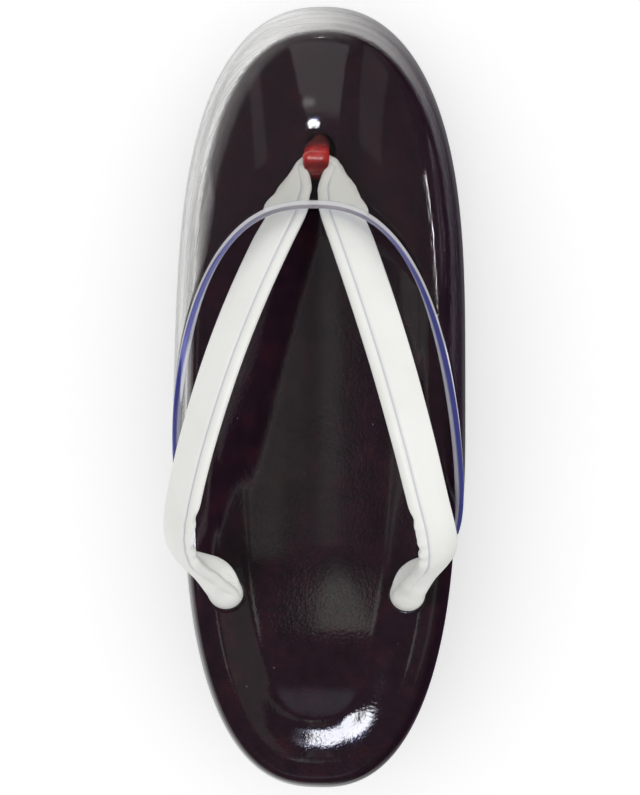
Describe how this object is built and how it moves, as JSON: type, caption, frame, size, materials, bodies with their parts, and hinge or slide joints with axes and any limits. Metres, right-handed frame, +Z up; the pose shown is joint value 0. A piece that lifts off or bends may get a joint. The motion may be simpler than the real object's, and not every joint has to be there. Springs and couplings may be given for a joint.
{
  "type": "rain zori",
  "caption": "Wedge zori sandal with a padded enamel sole, a white V-strap held by a red toe loop, and a clear vinyl cover over the toes for wear in rain.",
  "frame": {"origin": "on the floor, under the middle of the whole sandal", "axes": "+Y along the foot towards the toe, +X to the wearer's right, +Z up from the floor"},
  "size_m": [0.0936, 0.2496, 0.0855],
  "materials": {
    "sole_rubber": "matt moulded rubber",
    "enamel": "near-black maroon enamel sheet with an orange-peel gloss",
    "clear_vinyl": "clear glossy vinyl with a bluish cut edge",
    "white_leatherette": "white padded leatherette, soft sheen",
    "red_enamel": "glossy dark red enamel strip"
  },
  "bodies": {
    "root": {"outsole": "sole_rubber", "platform": "enamel", "insole": "enamel", "toe_cover": "clear_vinyl", "strap": "white_leatherette", "toe_thong": "red_enamel"}
  },
  "joints": []
}
